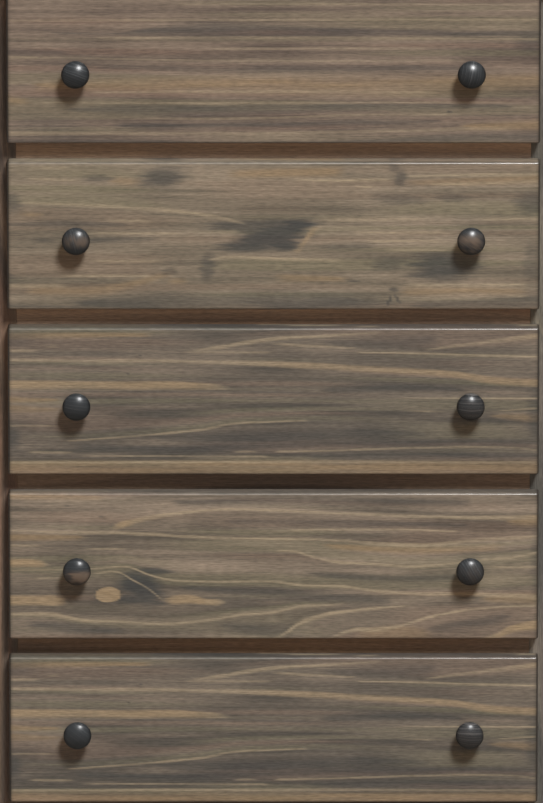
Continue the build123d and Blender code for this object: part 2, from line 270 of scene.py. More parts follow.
MOTTLED = {
    "lift": 0.52, "contrast": 0.74, "spacing": 6.5, "cloud": 0.88, "bands": 0.5,
    "red": 0.0, "olive": 0.24, "grey": 0.0,
    "edge": 0.0, "soft": 0.6, "width": 1.45, "line": 0.62, "tan": 0.85,
    "pale": [
        [(-318, 52, .7), (-244, 55, 1.2), (-190, 58, 1.2), (-104, 65, 1.4), (-60, 73, 1.3), (-34, 79, .8)],
        [(-305, 7, .8), (-251, 7, .7)],
        [(-309, 21, .9), (-238, 23, 1)],
        [(-212, 74, .6), (-147, 76, .7)],
        [(-240, 91, .7), (-114, 91, .8)],
        [(-82, 126, .6), (-60, 122, 1), (0, 124, 1), (88, 126, .9)],
        [(-229, 127, 1), (-136, 127, .9)],
        [(-268, 146, .8), (-147, 146, .7)],
        [(-329, 159, 1.5), (-255, 159, 1.1)],
        [(19, 22, .7), (84, 23, 1.2), (152, 22, .7)],
        [(101, 32, .9), (129, 32, .7)],
        [(164, 18, .7), (235, 16, 1), (330, 15, 1.5)],
        [(190, 28, .9), (330, 25, 1.3)],
        [(55, 74, .8), (127, 74, 1.2), (192, 73, .8)],
        [(246, 73, .8), (330, 73, 1.3)],
        [(95, 90, .7), (225, 90, .9)],
        [(114, 101, .9), (214, 101, .7)],
        [(138, 113, .8), (222, 113, .6)],
        [(22, 116, 2), (33, 110, 3), (46, 92, 3), (60, 82, 1.5)],
        [(160, 158, 1), (318, 158, 1.2)],
        [(290, 172, .8), (316, 172, .8)],
    ],
    "gold": [
        [(-206, 24, 5), (-160, 27, 5)],
        [(-318, 67, 4), (-284, 68, 3)],
        [(-136, 153, 4), (-105, 153, 3)],
        [(165, 26, 2), (240, 25, 4), (330, 21, 5)],
        [(0, 149, 4), (95, 151, 3)],
        [(155, 166, 5), (318, 166, 4)],
        [(-60, 16, 5), (90, 12, 6)],
        [(-310, 166, 4), (-200, 163, 5), (-120, 140, 3)],
    ],
    "cold": [
        [(-330, 80, 2), (-260, 80, 4), (-180, 81, 2)],
        [(-238, 101, 1.5), (-190, 100, 4), (-140, 99, 1.5)],
        [(-305, 100, 2), (-268, 101, 3)],
        [(-255, 182, 2), (-160, 180, 9), (-20, 179, 12), (60, 178, 13), (139, 180, 6)],
        [(165, 184, 3), (250, 183, 6), (331, 178, 9)],
        [(50, 109, 2), (90, 108, 4), (135, 106, 1.5)],
        [(-331, 150, 5), (-310, 152, 4)],
        [(-331, 186, 3), (-220, 188, 2)],
    ],
    "stain": [
        (-139, 19, 31, 18, -.5, .8), (-132, 8, 24, 6, 0, .5), (-219, 20, 22, 6, -.5, .5),
        (-325, 51, 14, 16, 0, .5), (4, 95, 46, 23, -.77, 1.0), (27, 83, 28, 13, -.8, 1.05),
        (-15, 101, 36, 14, -.5, 1), (-20, 86, 38, 13, -.2, .8), (14, 106, 26, 12, -.5, 1),
        (-46, 83, 46, 7, 0, .8), (-32, 108, 44, 9, 0, .9), (-82, 132, 11, 22, 0, .6),
        (-130, 141, 12, 5, 0, .5), (158, 20, 9, 13, 0, .6), (150, 7, 9, 6, 0, .5),
        (158, 47, 38, 10, 0, .45), (225, 46, 22, 7, 0, .4), (320, 52, 24, 20, 0, .6),
        # The stain at (238, 130) lies where the right knob's shadow falls: a dark stain that is partly
        # painted shadow, deepening that shadow.
        (143, 130, 27, 12, -.3, .55), (206, 136, 46, 23, -.2, .85), (238, 130, 26, 12, 0, .7),
        (100, 153, 10, 1.1, 0, .9), (144, 178, 2.5, 8, -.3, .9), (154, 176, 2.5, 7, .5, .8),
        (150, 164, 7, 3, 0, .7), (320, 130, 12, 30, 0, .4), (-180, 183, 70, 9, 0, .6),
        (40, 182, 115, 12, 0, .75),
    ],
    "glow": [
        (-10, 26, 120, 22, 0, .3), (260, 24, 90, 16, 0, .3),
        (80, 59, 320, 24, 0, .2), (190, 92, 120, 24, 0, .36),  # light round the stain
        (-285, 100, 80, 75, 0, -.13),
        (-180, 140, 110, 18, 0, .2), (140, 166, 150, 22, 0, .15), (250, 164, 80, 10, 0, .3),
    ],
    "knot": [],
}
BANDED = {
    "lift": 0.26, "contrast": 0.42, "spacing": 8.5, "cloud": 0.88, "bands": 0.42,
    "red": 0.0, "olive": 0.06, "grey": 0.14,
    "edge": 0.55, "soft": 0.4, "width": 0.92, "line": 0.57, "tan": 0.75,
    "pale": [
        [(-325, 41, 1.9), (-223, 42, 2), (-114, 43, 2.1), (-40, 45, 2.6), (10, 47, 3.4), (105, 52, 3.6),
         (170, 56, 3.8), (225, 60, 4.2), (268, 67, 4.4), (330, 71, 5)],
        [(-112, 31, .7), (-71, 25, 1.9), (-28, 18, 2.2), (0, 14, 2), (62, 10, 1.5), (135, 5, .8)],
        [(-112, 31, .7), (0, 31, .8)],
        [(-325, 73, 5.4), (-212, 74, 5), (-93, 75, 4), (-60, 77, 2), (-52, 77.5, .6)],
        [(-325, 29, 1.6), (-290, 29, 1.4)],
        [(-284, 24, 1.8), (-266, 22, .8)],
        [(-327, 126, .9), (-270, 126, .7)],
        [(-262, 146, .7), (-190, 141, 1), (-125, 135, 1.3), (-82, 130, 1.4), (-60, 125, 1.3), (0, 121, .9),
         (45, 119, .5)],
        [(-307, 160, 1.4), (-250, 161, 1.2)],
        [(-245, 165, .6), (0, 166, .7)],
        [(-50, 160, .9), (-20, 160, .7)],
        [(-3, 20, 1.3), (51, 23, 1.3), (106, 26, .6)],
        [(101, 31, .7), (170, 32, .9), (257, 35, 1), (330, 37, 1.2)],
        [(186, 28, .6), (225, 23, 1.5), (279, 16, 2.2), (330, 10, 3.2)],
        [(149, 90, .6), (330, 91, .8)],
        [(160, 107, .8), (214, 108, .5)],
        [(270, 108, .8), (330, 103, 1)],
        [(0, 160, .8), (84, 158, .9), (170, 155, 1), (235, 154, 1.2), (300, 155, 1.1), (330, 158, .8)],
        [(-331, 174, 1.1), (0, 173, 1.5), (331, 174, 1.2)],
    ],
    "gold": [
        [(-331, 182, 8.5), (0, 181, 8.5), (331, 181, 9)],
        [(-328, 92, 3), (-266, 93, 1.5)],
        [(-328, 104, 4), (-262, 106, 1.5)],
        [(268, 113, 2), (331, 116, 5)],
        [(-320, 10, 3), (-150, 8, 2)],
    ],
    "cold": [
        [(-190, 82, .8), (-100, 82, 1), (60, 84, 1.5)],
        [(-150, 142, 3), (-60, 144, 9), (40, 140, 7), (110, 136, 6), (200, 138, 3)],
        [(-250, 153, 2), (-120, 156, 5), (60, 150, 4), (331, 147, 4)],
        [(40, 166, 2), (120, 167, 4), (331, 166, 4)],
        [(60, 80, 4), (130, 78, 6), (240, 80, 3)],
        [(60, 18, 2), (150, 19, 7), (210, 14, 5)],
    ],
    "stain": [
        (-326, 146, 14, 18, 0, .7), (330, 115, 16, 46, 0, .6), (-330, 12, 40, 12, 0, .4),
        (-165, 35, 2, 1.2, 0, .9), (-181, 59, 1.6, 1, 0, .9), (150, 92, 120, 16, 0, .25),
        (110, 130, 130, 18, 0, .3),
    ],
    "glow": [
        (-280, 20, 75, 24, 0, .2), (-280, 100, 60, 22, 0, .18), (110, 20, 140, 22, 0, .12),
        (-245, 133, 115, 26, 0, -.29), (-30, 145, 90, 40, 0, -.1), (270, 146, 90, 44, 0, -.22),
    ],
    "knot": [],
}
FLAMED = {
    "lift": 0.38, "contrast": 0.6, "spacing": 8.0, "cloud": 0.88, "bands": 0.42,
    "red": 0.0, "olive": 0.1, "grey": 0.03,
    "edge": 0.52, "soft": 0.3, "width": 0.88, "line": 0.66, "tan": 1.0,
    "pale": [
        [(-207, 50, 2), (-196, 44, 4), (-169, 35, 3.2), (-125, 27, 2.4), (-82, 22, 1.7), (0, 22, 1.6),
         (62, 25, 1.7), (127, 28, 1.9), (214, 31, 1.9), (290, 32, 2.6), (330, 32, 4)],
        [(-329, 48, 1.4), (-255, 51, 1.8), (-203, 51, 2.1), (-158, 53, 2.3), (-104, 57, 1.9), (0, 59, 1.5),
         (62, 60, 1.7), (127, 65, 2.2), (192, 67, 2.6), (257, 61, 2.4), (330, 56, 1.9)],
        [(-325, 68, 1), (-288, 68, .7)],
        [(-238, 72, .8), (-182, 72, .7)],
        [(-328, 91, 5.2), (-299, 91, 5), (-286, 92, 3.4), (-279, 93, .8)],
        [(-329, 100, .8), (-264, 99, .7), (-223, 98, .8), (-177, 97, .9), (-158, 105, .9), (-142, 110, .9),
         (-82, 115, 1.1), (0, 115, 1.3), (40, 120, 1.5), (84, 121, 1.7), (127, 127, 2), (170, 130, 2.2),
         (220, 131, 2.4), (268, 132, 2.5), (330, 135, 3)],
        [(-225, 104, .6), (-190, 104, .8), (-177, 112, .8), (-158, 123, .9), (-136, 141, .7)],
        [(-310, 111, .7), (-262, 110, .6)],
        [(-331, 139, 6.8), (-299, 139, 6.3), (-264, 140, 5), (-257, 141, 2)],
        [(-138, 140, 3), (-126, 139, 5.6), (-104, 138, 6), (-86, 141, 4.2), (-62, 142, 2.4), (-57, 142, .8)],
        [(-329, 157, 1.5), (-277, 158, 2.5), (-238, 165, 1.9), (-190, 167, 1.5), (-136, 170, 1.5),
         (-82, 165, 1.6), (-38, 158, 1.4), (0, 155, 1.2), (29, 148, 1.3), (73, 145, 1.1), (92, 143, .6)],
        [(8, 48, .8), (105, 47, 1.1), (181, 48, 1.1), (235, 50, .6)],
        [(-3, 75, 1), (29, 76, 1.2), (51, 83, 1.5), (71, 88, 1.7), (127, 92, 1.8), (181, 95, 1.6),
         (214, 92, 1.4), (268, 86, 1.4), (300, 83, 1.3), (330, 77, 1.2)],
        [(263, 96, .9), (330, 96, 1.1)],
        [(2, 190, 1.2), (18, 180, 1.9), (30, 171, 2.4), (62, 159, 2.4), (105, 152, 1.9), (170, 146, .7)],
        [(66, 190, 1.2), (84, 183, 1.9), (101, 178, 2.5), (127, 178, 2.9), (160, 172, 2.4), (192, 162, 1.6),
         (227, 154, 1.4), (268, 149, 1.2), (330, 146, 1.2)],
        [(258, 192, 2), (276, 187, 3.4), (296, 178, 5), (331, 171, 6.8)],
    ],
    "gold": [
        [(-329, 57, 4), (-234, 58, 2)],
        [(100, 184, 4), (138, 182, 7), (178, 183, 7), (202, 185, 3)],
        [(290, 37, 4), (331, 38, 5)],
        [(60, 68, 2), (160, 74, 4), (290, 70, 3)],
        [(258, 137, 2.5), (300, 138, 5.5), (331, 139, 6.5)],
        [(-320, 4, 3), (-210, 6, 2)],
    ],
    "cold": [
        [(-310, 170, 3), (-250, 176, 6), (-180, 180, 3)],
        [(-70, 172, 3), (-20, 178, 7), (20, 186, 4)],
        [(-60, 37, 3), (60, 39, 5), (250, 42, 2)],
        [(-120, 122, 2), (-40, 128, 6), (60, 134, 7), (150, 142, 4)],
        [(40, 104, 2), (110, 110, 5), (200, 112, 5), (250, 108, 2)],
        [(190, 178, 3), (260, 168, 7), (300, 160, 4)],
        [(-130, 12, 3), (60, 10, 6), (250, 12, 5)],
    ],
    "stain": [
        (-168, 122, 31, 25, .3, .95), (-156, 102, 32, 6, 0, .9), (-178, 138, 26, 8, 0, .8),
        (-142, 143, 16, 3, .2, .7), (-214, 30, 5, 1.2, 0, .7), (-257, 16, 6, 1.2, 0, .6),
        (-36, 9, 5, 1.2, 0, .6), (328, 90, 8, 60, 0, .35), (-10, 178, 50, 14, 0, .4),
        (-40, 140, 60, 12, 0, .3),
    ],
    "glow": [
        (-200, 14, 150, 26, 0, .5), (115, 21, 280, 22, 0, .19),
        (60, 66, 120, 12, 0, .12), (190, 86, 150, 22, 0, .26),
        (-250, 112, 95, 46, 0, -.16),  # dark round the knot
        (150, 160, 90, 28, 0, .1), (292, 155, 65, 44, 0, .26),
    ],
    "knot": [(-207, 132, 17, 10.8)],
}
DARKER_BANDED = BANDED | {
    "lift": 0.23,
    "gold": [[(-331, 184, 6.5), (0, 184, 6), (331, 184, 6.5)], *BANDED["gold"][1:]],
    "glow": [*BANDED["glow"], (0, 164, 400, 30, 0, -.13), (-285, 150, 80, 44, 0, -.08)],
}
FRONT_FIGURES = (STRAIGHT, MOTTLED, BANDED, FLAMED, DARKER_BANDED)
FRONT_SEEDS = (0, 100, 200, 300, 200)  # the third and the bottom front were cut from one board


def ground(along, bent, figure, seed):
    """The plain wood between the marks: tone from ring lines, fine streaks, soft bands and broad
    clouds, and where it turns reddish, olive or grey."""
    rings = growth_rings(bent, along, figure["spacing"], seed + 2)
    fine = grain_noise(along, bent, (420, 4.2), seed + 3) + grain_noise(along, bent, (240, 2.1), seed + 8)
    broad_cloud = grain_noise(along, bent, (150, 20), seed + 6)
    small_cloud = grain_noise(along, bent, (70, 11), seed + 9)
    cloud = 0.6 * broad_cloud + 0.4 * small_cloud
    hue = grain_noise(along, bent, (240, 8), seed + 7)
    bands = grain_noise(along, bent, (130, 6.5), seed + 4) - 0.5
    tone = figure["contrast"] * (0.42 * rings + 0.38 * (fine - 1))
    tone = tone + figure["cloud"] * (cloud - 0.5) + figure["bands"] * bands
    return {
        "tone": np.clip(figure["lift"] + tone, 0, 1),
        "red": figure["red"] + 0.4 * ramp(hue, 0.55, 0.85),
        "olive": figure["olive"] + 0.35 * ramp(1 - hue, 0.55, 0.85),
        "grey": np.full_like(along, figure["grey"]),
    }


def front_figure(along, across, into, figure, seed):
    """Shares of each tint on a drawer front: plain wood bent along the streaks, then the marks, then painted
    shade on the rounding round the face, the top, bottom and end faces made darker, and the cut ends
    darkened to near black."""
    wander = (grain_noise(along, across, (300, 45), seed + 1) - 0.5) * 6
    shares = ground(along, across + wander - carried(along, across, figure["pale"]), figure, seed)
    for spot in figure["glow"]:
        shares["tone"] = np.clip(shares["tone"] + soaked(along, across, spot), 0, 1)
    for tint, share, soft, first_seed in (("gold", 0.7, 0.7, 240), ("cold", 0.58, 0.75, 260)):
        drawn = [streak(along, across, points, soft, streak_seed)[0]
                 for streak_seed, points in enumerate(figure[tint], first_seed)]
        shares[tint] = share * np.max(drawn, axis=0)
    for spot in figure["stain"]:
        shares["cold"] = np.maximum(shares["cold"], 0.85 * soaked(along, across, spot))
    shares["pale"] = np.zeros_like(along)
    for streak_seed, points in enumerate(figure["pale"], 200):
        points = [(x, y, half * figure["width"]) for x, y, half in points]
        drawn, half = streak(along, across, points, figure["soft"], streak_seed)
        wide = ramp(half, 1.8, 4.2)  # a wide streak is tan, a narrow one paler
        shares["pale"] = np.maximum(shares["pale"], drawn * figure["line"] * (1 - 0.55 * wide))
        shares["gold"] = np.maximum(shares["gold"], figure["tan"] * drawn * wide)
        shares["cold"] = shares["cold"] * (1 - drawn * (0.4 + 0.6 * wide))
    # Painted shade on the rounding round the face, which the lamp would otherwise light brighter than the
    # face
    arris_painted_shade = ramp(into, 0.2, 0.8) * (1 - ramp(into, 2.0, 3.0))
    shares["cold"] = np.maximum(shares["cold"], 0.34 * arris_painted_shade)
    shares["cold"] = np.maximum(shares["cold"], figure["edge"] * ramp(into, 1.5, 4.0))
    end_grain = ramp(np.abs(along), *END_GRAIN)
    shares["end"] = 0.85 * end_grain
    shares["pale"] = shares["pale"] * (1 - end_grain)
    for x, y, half_length, half_height in figure["knot"]:
        reach = np.hypot((along - x) / half_length, (across - y) / half_height)
        reach = reach + (grain_noise(along, across, (12, 8), 19) - 0.5) * 0.12
        heart = 1 - ramp(reach, 0.9, 1.0)
        rim = ramp(reach, 0.88, 0.97) * (1 - ramp(reach, 1.0, 1.14))
        shares["gold"] = np.maximum(shares["gold"] * (1 - heart), heart * 0.9)
        cloud = grain_noise(along, across, (9, 5), 23)
        shares["pale"] = np.maximum(shares["pale"] * (1 - heart), heart * (0.1 + 0.3 * cloud))
        shares["cold"] = np.maximum(shares["cold"] * (1 - heart), 0.4 * rim)
    return shares


def sawn_figure(along, across, figure, seed):
    """Shares of each tint on a plain-sawn board: rings round a pith that lies under the face and
    dips along the board, so that they cross the face as arches in the middle and lines beside it.
    Some rings are bold and pale, and crisp pale and dark lines run between them."""
    middle = (grain_noise(along, 0 * along, (700, 1), seed + 11) - 0.5) * 40
    dip = 26 + 60 * grain_noise(along, 0 * along, (520, 1), seed + 12)
    wander = (grain_noise(along, across, (260, 40), seed + 1) - 0.5) * 7
    radius = np.hypot(across - middle, dip) + wander
    shares = ground(along, radius, figure, seed)
    bold = growth_rings(radius + 3, along, 2.6 * figure["spacing"], seed + 13)
    shares["pale"] = 0.75 * ramp(bold, 0.15, 0.7)
    shares["gold"] = 0.5 * ramp(grain_noise(along, radius, (300, 18), seed + 14), 0.65, 0.9)
    shares["cold"] = 0.55 * ramp(grain_noise(along, radius, (190, 16), seed + 15), 0.6, 0.95)
    pale_line = ramp(grain_noise(along, radius, (380, 4.2), seed + 16), 0.66, 0.84)
    dark_line = ramp(grain_noise(along, radius, (260, 5.5), seed + 17), 0.66, 0.88)
    shares["pale"] = np.maximum(shares["pale"], figure["lines"] * pale_line)
    shares["cold"] = np.maximum(shares["cold"], figure["lines"] * dark_line)
    return shares


def glued_figure(along, across, width, figure, seed):
    """Shares of each tint on a panel glued up edge to edge from plain-sawn boards of one width."""
    tints = ("tone", "red", "olive", "grey", "pale", "gold", "cold")
    shares = {tint: np.zeros_like(along) for tint in tints}
    board = np.floor(across / width).astype(int)
    for number in np.unique(board):
        here = board == number
        from_middle = across[here] - (number + 0.5) * width
        found = sawn_figure(along[here], from_middle, figure, seed + 40 * (number % 7))
        for tint, share in found.items():
            shares[tint][here] = share
    return shares


# Shapes
ROUND_STEPS = 5  # grid lines over half of a rounded edge
SHARP = math.radians(50)  # an edge that turns by more is drawn crisp


def skin(lines):
    """Lattice places and quads of the six sides of a box, whose grid lines are given for each axis."""
    counts = [len(line) for line in lines]
    corners = []
    for axis in range(3):
        u, v = (axis + 1) % 3, (axis + 2) % 3
        iu, iv = np.meshgrid(np.arange(counts[u] - 1), np.arange(counts[v] - 1), indexing="ij")
        for end, turn in ((counts[axis] - 1, 1), (0, -1)):
            place = np.empty((iu.size, 4, 3), int)
            place[:, :, axis] = end
            place[:, :, u] = iu.reshape(-1, 1) + np.array((0, 1, 1, 0))
            place[:, :, v] = iv.reshape(-1, 1) + np.array((0, 0, 1, 1))
            corners.append(place[:, ::turn])
    corners = np.concatenate(corners).reshape(-1, 3)
    keys = (corners[:, 0] * counts[1] + corners[:, 1]) * counts[2] + corners[:, 2]
    _, first, quads = np.unique(keys, return_index=True, return_inverse=True)
    places = corners[first]
    return np.stack([lines[a][places[:, a]] for a in range(3)], axis=1), quads.reshape(-1, 4)


def eased_board(low, high, cells, radius, flat=()):
    """A board with eased edges: each point of a box's grid is drawn to the box that is smaller by
    the radius, then pushed out again by the radius. Sides named in flat, as (axis, sign), are cut
    off before their edges round over, and stay square."""
    low, high = np.array(low, float), np.array(high, float)
    outer_low, outer_high = low.copy(), high.copy()
    for axis, sign in flat:
        (outer_low if sign < 0 else outer_high)[axis] += sign * radius
    turn = radius * np.tan(np.linspace(0, math.pi / 4, ROUND_STEPS))
    lines = []
    for axis in range(3):
        start, stop = outer_low[axis] + radius, outer_high[axis] - radius
        even = np.linspace(start, stop, 1 + max(1, round((stop - start) / cells[axis])))
        lines.append(np.concatenate([start - turn[:0:-1], even, stop + turn[1:]]))
    points, quads = skin(lines)
    inner = np.clip(points, outer_low + radius, outer_high - radius)
    out = points - inner
    points = inner + radius * out / np.linalg.norm(out, axis=1, keepdims=True)
    return np.clip(points, low, high), quads


def turned(profile, steps):
    """A turned solid: a profile of (radius, distance along the axis) that starts and ends on the
    axis is carried round it. Gives points (x, distance, z) and faces, with a fan at each pole."""
    angle = np.linspace(0, 2 * math.pi, steps, endpoint=False)
    ring = profile[1:-1]
    points = np.stack([np.outer(ring[:, 0], np.cos(angle)), np.repeat(ring[:, 1:], steps, axis=1),
                       np.outer(ring[:, 0], np.sin(angle))], axis=-1).reshape(-1, 3)
    i, j = np.meshgrid(np.arange(len(ring) - 1), np.arange(steps), indexing="ij")
    after = (j + 1) % steps
    lower, upper = i * steps, (i + 1) * steps
    quads = np.stack([lower + j, upper + j, upper + after, lower + after], axis=-1)
    poles = np.array([(0, profile[0, 1], 0), (0, profile[-1, 1], 0)])
    start, finish = len(points), len(points) + 1
    rim, last = np.arange(steps), (len(ring) - 1) * steps
    next_rim = (rim + 1) % steps
    fans = [np.stack([np.full(steps, start), rim, next_rim], axis=-1),
            np.stack([np.full(steps, finish), last + next_rim, last + rim], axis=-1)]
    return np.concatenate([points, poles]), quads.reshape(-1, 4), np.concatenate(fans)


def add_piece(name, points, faces, body, material, nodes, shares=None, board=None):
    """Makes a mesh piece that rides on a body, stands for CAD nodes, and carries its wood figure:
    one number a point for each tint, and its place in the board."""
    corners = np.concatenate([np.ravel(group) for group in faces])
    sizes = np.concatenate([np.full(len(group), group.shape[1]) for group in faces])
    mesh = bpy.data.meshes.new(name)
    mesh.vertices.add(len(points))
    mesh.vertices.foreach_set("co", np.ravel(points).astype(np.float32))
    mesh.loops.add(len(corners))
    mesh.loops.foreach_set("vertex_index", corners.astype(np.int32))
    mesh.polygons.add(len(sizes))
    mesh.polygons.foreach_set("loop_start", (np.cumsum(sizes) - sizes).astype(np.int32))
    mesh.update(calc_edges=True)
    mesh.shade_smooth()
    mesh.set_sharp_from_angle(angle=SHARP)
    for tint, share in (shares or {}).items():
        mesh.attributes.new(tint, "FLOAT", "POINT").data.foreach_set("value", share.astype(np.float32))
    if board is not None:
        place = mesh.attributes.new("board", "FLOAT_VECTOR", "POINT")
        place.data.foreach_set("vector", np.ravel(board).astype(np.float32))
    mesh.materials.append(material)
    piece = bpy.data.objects.new(name, mesh)
    bpy.context.scene.collection.objects.link(piece)
    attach(piece, body)
    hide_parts(*nodes)


# Stained pine
STAIN_DARK, STAIN_LIGHT = "443f3b", "908273"
STAIN_LAYERS = (("red", "776357"), ("olive", "76715b"), ("grey", "656560"), ("gold", "8a765b"),
                ("cold", "36393a"), ("pale", "a0927a"), ("end", "1c1611"))
# Frame colours are browner and redder than the fronts': partly the stain, and partly painted warm shade for
# the rails and the left stile, which sit in the fronts' shadow.
FRAME_DARK, FRAME_LIGHT = "3a2f28", "ac927c"
FRAME_LAYERS = (("red", "7c5643"), ("olive", "6a5744"), ("grey", "756a60"), ("gold", "86674a"),
                ("cold", "362b26"), ("pale", "947660"))
LONG_FIBRE = (60, 1.5, 4)  # millimetres along, across and into the board
SHORT_FIBRE = (11, 1.7, 4)


def stained_pine(name, dark, light, layers):
    """Solid pine under a wiped grey-brown stain and satin lacquer. The soft early wood drinks the
    stain and goes grey, the hard late wood stays tan, so the rings show as pale lines; the lacquer
    gives a soft sheen that the open fibres break up. Fibres are drawn 1.5 mm wide, many times their
    real width, because finer ones don't show."""
    material, tree = new_material(name)
    tone = add(tree, "ShaderNodeAttribute", attribute_name="tone").outputs["Fac"]
    plain = {0: tone, 6: linear(dark), 7: linear(light)}
    colour = add(tree, "ShaderNodeMix", plain, data_type="RGBA").outputs[2]
    for tint, hex_colour in layers:
        share = add(tree, "ShaderNodeAttribute", attribute_name=tint).outputs["Fac"]
        tinted = {0: share, 6: colour, 7: linear(hex_colour)}
        colour = add(tree, "ShaderNodeMix", tinted, data_type="RGBA").outputs[2]
    board = add(tree, "ShaderNodeAttribute", attribute_name="board").outputs["Vector"]
    long_fibre = grain_pattern(tree, board, LONG_FIBRE, 2.0)
    short_fibre = grain_pattern(tree, board, SHORT_FIBRE, 2.0)
    short_part = add(tree, "ShaderNodeMath", {0: short_fibre, 1: 1.15}, operation="MULTIPLY").outputs[0]
    both = {0: long_fibre, 1: 0.85, 2: short_part}
    fibre = add(tree, "ShaderNodeMath", both, operation="MULTIPLY_ADD").outputs[0]
    spread = {"Value": fibre, "From Min": 0.6, "From Max": 1.4}
    shade = add(tree, "ShaderNodeMapRange", spread | {"To Min": 0.66, "To Max": 1.34}).outputs[0]
    rough = add(tree, "ShaderNodeMapRange", spread | {"To Min": 0.5, "To Max": 0.36}).outputs[0]
    colour = add(tree, "ShaderNodeVectorMath", {0: colour, "Scale": shade}, operation="SCALE").outputs[0]
    height = add(tree, "ShaderNodeMath", {0: fibre, 1: 0.25, 2: tone}, operation="MULTIPLY_ADD").outputs[0]
    bump = add(tree, "ShaderNodeBump", {"Height": height, "Strength": 0.35, "Distance": 0.15 * MM})
    shader = add(tree, "ShaderNodeBsdfPrincipled", {
        "Base Color": colour, "Roughness": rough, "Normal": bump.outputs[0], "IOR": 1.45,
        "Specular IOR Level": 0.2, "Coat Weight": 0.25, "Coat Roughness": 0.2, "Coat IOR": 1.5})
    add(tree, "ShaderNodeOutputMaterial", {"Surface": shader.outputs[0]})
    return material


def board_place(points, along_axis, across_axis, depth_axis, corner):
    """Millimetres along, across and into a board, from a corner of it. The rings slope through the
    thickness, so an edge shows them too."""
    ring_slope = 0.7
    into = np.abs(points[:, depth_axis] - corner[depth_axis]) / MM
    across = np.abs(points[:, across_axis] - corner[across_axis]) / MM
    return (points[:, along_axis] - corner[along_axis]) / MM, across + ring_slope * into, into


FRONT_EDGE = 3.0 * MM
FRAME_EDGE = 0.7 * MM
TOP_EDGE = 6.0 * MM
# Cells of the boards' grids: fine across the grain, where the lines are
FRONT_CELLS = (3.0 * MM, 5.0 * MM, 1.0 * MM)
RAIL_CELLS = (4.0 * MM, 5.0 * MM, 1.2 * MM)
STILE_CELLS = (1.2 * MM, 5.0 * MM, 5.0 * MM)
TOP_CELLS = (6.0 * MM, 2.2 * MM, 4.0 * MM)
# Axes of the boards' grain, width and thickness
FRONT_AXES, STILE_AXES, TOP_AXES, SIDE_AXES = (0, 2, 1), (2, 0, 1), (0, 1, 2), (2, 1, 0)
# Sides of a board that stay square
BACKWARD = (1, 1)  # +Y
BELOW = (2, -1)  # -Z
# Plain-sawn boards, with keys as in the fronts' figures; lines is the strength of their crisp lines
PANEL_SAWN = {"lift": 0.33, "contrast": 0.7, "spacing": 8.0, "cloud": 0.6, "bands": 0.5, "lines": 0.62,
              "red": 0.0, "olive": 0.08, "grey": 0.1}
FRAME_SAWN = {"lift": 0.26, "contrast": 0.9, "spacing": 5.0, "cloud": 0.88, "bands": 0.4, "lines": 0.0,
              "red": 0.0, "olive": 0.0, "grey": 0.0}
PANEL_BOARDS = 3  # glued edge to edge in the top and in each side

front_pine = stained_pine("pine_wiped_grey_stain_satin_lacquer", STAIN_DARK, STAIN_LIGHT, STAIN_LAYERS)
frame_pine_with_painted_shade = stained_pine("pine_wiped_brown_stain_and_painted_warm_shade_satin_lacquer", FRAME_DARK, FRAME_LIGHT, FRAME_LAYERS)


def add_pine(name, points, quads, axes, corner, figured, seed, material, body, node):
    """A piece of stained pine: axes are the grain's, the width's and the thickness's, and figured
    gives the shares of the tints at places along, across and into the board."""
    along, across, into = board_place(points, *axes, corner)
    board = np.stack([along + 1000 * seed, across, into], axis=1) * MM
    shares = figured(along, across, into)
    add_piece(name, points, [quads], body, material, [node], shares, board)


# Drawer fronts
for drawer, figure, seed in zip(drawers, FRONT_FIGURES, FRONT_SEEDS):
    node = f"drawer_{drawer}_front"
    low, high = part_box(node)
    points, quads = eased_board(low, high, FRONT_CELLS, FRONT_EDGE, [BACKWARD])
    add_pine(f"{node}_board", points, quads, FRONT_AXES, (0, low.y, high.z),
             lambda *place: front_figure(*place, figure, seed),
             seed, front_pine, f"drawer_{drawer}", node)

# Face frame
rails = ["top_rail", *(f"divider_rail_{drawer}" for drawer in drawers[:-1]), "bottom_rail"]
RAIL_PAINTED_LIGHT = (0.42, 1.15, 0.68, 0.37, 0.31, 0.35)  # tone of each rail: painted light and shade, set to how bright each rail looks between the fronts, lightest under the top drawer
RAIL_STRAIGHT = 0.35  # rails are cut from straight wood: their figure is drawn out by this share
stile_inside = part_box("right_stile")[0].x
for seed, (rail, lift) in enumerate(zip(rails, RAIL_PAINTED_LIGHT), 40):
    low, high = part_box(rail)
    low.x, high.x = -stile_inside, stile_inside
    points, quads = eased_board(low, high, RAIL_CELLS, FRAME_EDGE, [BACKWARD])
    sawn = FRAME_SAWN | {"lift": lift}
    add_pine(f"{rail}_board", points, quads, FRONT_AXES, (0, low.y, high.z),
             lambda along, across, into: sawn_figure(RAIL_STRAIGHT * along, across, sawn, 10 * seed),
             seed, frame_pine_with_painted_shade, "case", rail)
# The left stile's low tone is painted shade, as the fronts' shadow falls on it; the right stile takes the
# fronts' stain.
STILES = (("left_stile", frame_pine_with_painted_shade, 0.02, 0.22), ("right_stile", front_pine, 0.27, 0.4))
for seed, (stile, pine, lift, grey) in enumerate(STILES, 60):
    low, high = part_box(stile)
    points, quads = eased_board(low, high, STILE_CELLS, FRAME_EDGE, [BACKWARD])
    sawn = FRAME_SAWN | {"lift": lift, "grey": grey}
    add_pine(f"{stile}_board", points, quads, STILE_AXES, (low.x, low.y, 0),
             lambda along, across, into: sawn_figure(along, across, sawn, 10 * seed),
             seed, pine, "case", stile)

